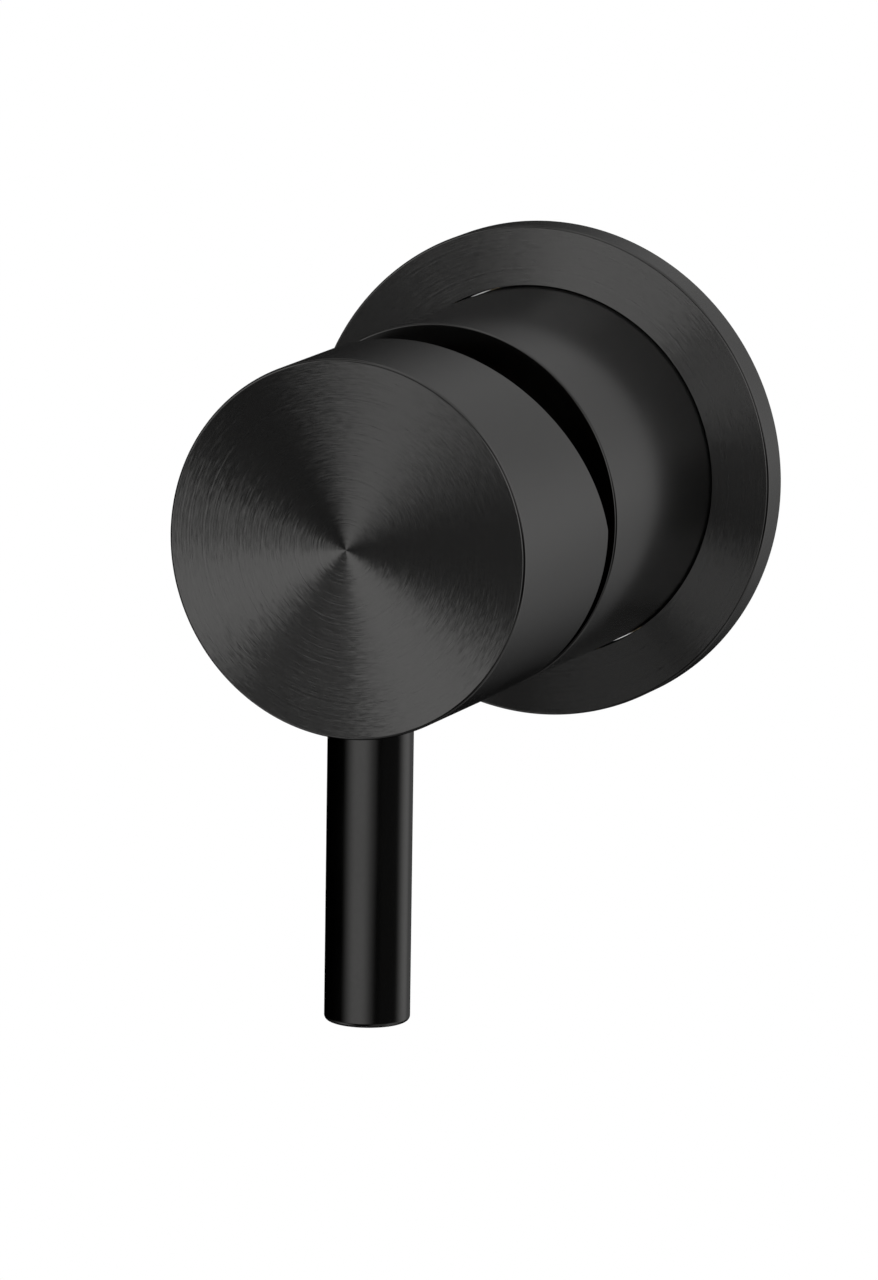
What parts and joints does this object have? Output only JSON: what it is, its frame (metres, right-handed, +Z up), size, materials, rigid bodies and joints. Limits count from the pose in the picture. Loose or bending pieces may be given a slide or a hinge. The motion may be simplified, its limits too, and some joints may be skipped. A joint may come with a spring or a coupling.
{
  "type": "concealed mixer tap",
  "caption": "Wall-mounted single-lever mixer: round plate, plain sleeve, cylindrical tilting handle with a pin lever, and a ceramic-disc cartridge in a rear-entry brass body.",
  "frame": {"origin": "on the tap's axis, in the plane of the wall's face, which the plate's rear rim rests on", "axes": "+X to the right as seen from the room, +Y into the wall along the tap's axis, +Z up; the lever points down"},
  "size_m": [0.06, 0.0763, 0.0875],
  "materials": {
    "handle_metal": "dark coated steel, turned and brushed in circles",
    "sleeve_metal": "dark coated steel, smooth satin",
    "plate_metal": "dark coated steel, face brushed in circles",
    "cast_brass": "machined brass",
    "white_plastic": "moulded acetal",
    "grey_plastic": "moulded acetal",
    "red_plastic": "moulded acetal",
    "white_ceramic": "lapped alumina",
    "black_rubber": "moulded nitrile rubber",
    "bright_steel": "drawn stainless steel"
  },
  "bodies": {
    "valve": {"valve_body": "cast_brass", "wall_plate": "plate_metal", "plate_o_ring": "black_rubber", "sleeve": "sleeve_metal", "sleeve_o_ring": "black_rubber", "cartridge_nut": "cast_brass", "cartridge_housing": "white_plastic", "cartridge_base": "grey_plastic", "port_seals": "black_rubber", "fixed_disc": "white_ceramic", "temperature_limit_ring": "red_plastic"},
    "turret": {"turret": "white_plastic", "pivot_pin": "bright_steel"},
    "grip": {"handle": "handle_metal", "lever": "handle_metal", "lever_stud": "bright_steel", "grub_screw": "bright_steel", "stem": "bright_steel"},
    "discs": {"disc_carrier": "grey_plastic", "moving_disc": "white_ceramic", "chamber_seal": "black_rubber"}
  },
  "joints": [
    {"name": "temperature", "type": "hinge", "parent": "valve", "child": "turret", "pos_m": [0, 0, 0], "axis": [0, 1, 0], "range_deg": [-50, 50]},
    {"name": "flow", "type": "hinge", "parent": "turret", "child": "grip", "pos_m": [0, -0.029, 0], "axis": [-1, 0, 0], "range_deg": [0, 22]},
    {"name": "disc_slide", "type": "slide", "parent": "turret", "child": "discs", "axis": [0, 0, -1], "range_m": [0, 0.00316]}
  ],
  "couplings": [
    {"joint": "disc_slide", "follows": "flow", "m_per_rad": 0.0081951}
  ]
}
